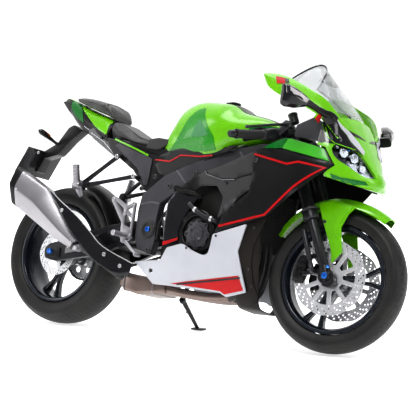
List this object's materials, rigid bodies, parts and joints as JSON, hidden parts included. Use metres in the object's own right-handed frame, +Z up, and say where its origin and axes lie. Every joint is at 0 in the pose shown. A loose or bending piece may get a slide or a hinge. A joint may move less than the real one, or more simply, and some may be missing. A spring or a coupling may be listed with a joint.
{
  "type": "rc motorcycle",
  "caption": "Radio-controlled scale model of a fully faired road-racing motorcycle, leaning on its side stand, with sprung fork and swingarm, steering and rolling wheels.",
  "frame": {"origin": "on the ground plane, at the middle of the model's bounding box", "axes": "+X forward along the machine, +Y to the rider's left, +Z up; the machine leans 12 degrees to +Y on its side stand and its steering is turned 8.7 degrees to the left"},
  "size_m": [0.2572, 0.1028, 0.1464],
  "materials": {
    "lime_plastic": "gloss lacquered moulding",
    "gloss_black": "satin to gloss black moulding",
    "white_plastic": "gloss pale silver-white moulding",
    "black_plastic": "matt black moulding",
    "black_wheel": "gloss black cast wheel",
    "tyre": "moulded tread rubber",
    "grip_rubber": "ribbed soft rubber",
    "seat_vinyl": "grained black vinyl",
    "black_metal": "satin black painted metal",
    "dark_metal": "dark cast finish",
    "frame_metal": "dark grey satin paint over cast alloy",
    "silver_metal": "machined silver",
    "brake_steel": "ground steel",
    "titanium": "heat-tinted satin metal",
    "clear_screen": "clear moulded screen",
    "lamp_lens": "clear lens over reflectors",
    "battery_film": "shrink film",
    "circuit_board": "coated board"
  },
  "bodies": {
    "chassis": {"frame": "frame_metal", "subframe": "dark_metal", "engine_block": "dark_metal", "clutch_cover": "dark_metal", "generator_cover": "dark_metal", "radiator": "dark_metal", "exhaust": "titanium", "muffler": "titanium", "muffler_shield": "black_metal", "fuel_tank": "lime_plastic", "battery_pack": "battery_film", "rider_seat": "seat_vinyl", "pillion_seat": "seat_vinyl", "tail_cowl": "lime_plastic", "plate_hanger": "black_plastic", "number_plate": "black_plastic", "side_fairing_right": "gloss_black", "side_fairing_left": "gloss_black", "belly_fairing_right": "white_plastic", "belly_fairing_left": "white_plastic", "radiator_duct": "black_plastic", "nose_cowl": "lime_plastic", "headlight_unit": "lamp_lens", "windscreen": "clear_screen", "rearset_right": "silver_metal", "rearset_left": "silver_metal", "drive_motor": "silver_metal", "steering_servo": "black_plastic", "receiver_board": "circuit_board", "rear_shock": "silver_metal"},
    "steering": {"steering_stem": "dark_metal", "fork_tube_right": "black_metal", "fork_tube_left": "black_metal", "handlebar_right": "black_metal", "handlebar_left": "black_metal"},
    "throttle": {"throttle_grip": "grip_rubber"},
    "brake_lever": {"brake_lever": "black_metal"},
    "clutch_lever": {"clutch_lever": "black_metal"},
    "fork_lower": {"fork_slider_right": "black_metal", "fork_slider_left": "black_metal", "front_fender": "lime_plastic"},
    "front_wheel": {"front_rim": "black_wheel", "front_tyre": "tyre", "front_disc_right": "brake_steel", "front_disc_left": "brake_steel"},
    "swingarm": {"swingarm": "black_metal", "drive_chain": "dark_metal", "rear_hugger": "black_plastic"},
    "rear_wheel": {"rear_rim": "black_wheel", "rear_tyre": "tyre", "rear_disc": "brake_steel", "rear_sprocket": "silver_metal"},
    "drive_sprocket": {"drive_sprocket": "silver_metal"},
    "mirror_right": {"mirror_right": "gloss_black"},
    "mirror_left": {"mirror_left": "gloss_black"},
    "brake_pedal": {"brake_pedal": "silver_metal"},
    "shift_lever": {"shift_lever": "silver_metal"},
    "pillion_peg_right": {"pillion_peg_right": "silver_metal"},
    "pillion_peg_left": {"pillion_peg_left": "silver_metal"},
    "side_stand": {"side_stand": "black_metal"}
  },
  "joints": [
    {"name": "steering", "type": "hinge", "parent": "chassis", "child": "steering", "pos_m": [0.05756, -0.00418, 0.10025], "axis": [-0.4226, 0.1884, 0.8865], "range_deg": [-32.7, 15.3]},
    {"name": "fork_travel", "type": "slide", "parent": "steering", "child": "fork_lower", "axis": [-0.4226, 0.1884, 0.8865], "range_m": [0, 0.0075], "stiffness_N_per_m": 400, "springref_m": -0.02},
    {"name": "front_wheel_spin", "type": "hinge", "parent": "fork_lower", "child": "front_wheel", "pos_m": [0.09194, -0.01713, 0.03657], "axis": [-0.1371, 0.9536, -0.268], "continuous": true},
    {"name": "swingarm_pivot", "type": "hinge", "parent": "chassis", "child": "swingarm", "pos_m": [-0.01902, -0.01381, 0.05493], "axis": [0, 0.9781, -0.2079], "range_deg": [0, 7], "stiffness_Nm_per_rad": 2, "springref_deg": -17.19, "deforming": ["rear_shock"]},
    {"name": "rear_wheel_spin", "type": "hinge", "parent": "swingarm", "child": "rear_wheel", "pos_m": [-0.08927, -0.01719, 0.03903], "axis": [0, 0.9781, -0.2079], "continuous": true},
    {"name": "sprocket_spin", "type": "hinge", "parent": "chassis", "child": "drive_sprocket", "pos_m": [-0.01052, -0.00061, 0.05148], "axis": [0, 0.9781, -0.2079], "continuous": true},
    {"name": "throttle_twist", "type": "hinge", "parent": "steering", "child": "throttle", "pos_m": [0.05912, -0.01882, 0.11031], "axis": [-0.3334, -0.9427, 0.0151], "range_deg": [0, 70], "stiffness_Nm_per_rad": 0.0005, "springref_deg": -17.19},
    {"name": "brake_lever_pull", "type": "hinge", "parent": "steering", "child": "brake_lever", "pos_m": [0.06602, -0.02359, 0.11546], "axis": [0.4226, -0.1884, -0.8865], "range_deg": [0, 10], "stiffness_Nm_per_rad": 0.01, "springref_deg": -17.19},
    {"name": "clutch_lever_pull", "type": "hinge", "parent": "steering", "child": "clutch_lever", "pos_m": [0.0595, 0.0217, 0.10272], "axis": [-0.4226, 0.1884, 0.8865], "range_deg": [0, 10], "stiffness_Nm_per_rad": 0.01, "springref_deg": -17.19},
    {"name": "mirror_right_fold", "type": "hinge", "parent": "chassis", "child": "mirror_right", "pos_m": [0.09361, -0.02957, 0.12026], "axis": [0, -0.2079, -0.9781], "range_deg": [-15, 25]},
    {"name": "mirror_left_fold", "type": "hinge", "parent": "chassis", "child": "mirror_left", "pos_m": [0.09361, 0.02716, 0.1082], "axis": [0, 0.2079, 0.9781], "range_deg": [-15, 25]},
    {"name": "brake_pedal_press", "type": "hinge", "parent": "chassis", "child": "brake_pedal", "pos_m": [-0.03239, -0.03692, 0.05204], "axis": [0, 0.9781, -0.2079], "range_deg": [0, 8], "stiffness_Nm_per_rad": 0.01, "springref_deg": -17.19},
    {"name": "shift_lever_press", "type": "hinge", "parent": "chassis", "child": "shift_lever", "pos_m": [-0.03239, 0.00612, 0.04289], "axis": [0, 0.9781, -0.2079], "range_deg": [0, 8], "stiffness_Nm_per_rad": 0.01, "springref_deg": -17.19},
    {"name": "pillion_peg_right_fold", "type": "hinge", "parent": "chassis", "child": "pillion_peg_right", "pos_m": [-0.07164, -0.03113, 0.08046], "axis": [1, 0, 0], "range_deg": [0, 80]},
    {"name": "pillion_peg_left_fold", "type": "hinge", "parent": "chassis", "child": "pillion_peg_left", "pos_m": [-0.07164, 0.0124, 0.07121], "axis": [-1, 0, 0], "range_deg": [0, 80]},
    {"name": "side_stand_fold", "type": "hinge", "parent": "chassis", "child": "side_stand", "pos_m": [-0.01014, -0.01294, 0.01934], "axis": [-0.1501, 0.7341, 0.6623], "range_deg": [0, 75]}
  ],
  "couplings": [
    {"joint": "sprocket_spin", "follows": "rear_wheel_spin", "ratio": 3}
  ]
}
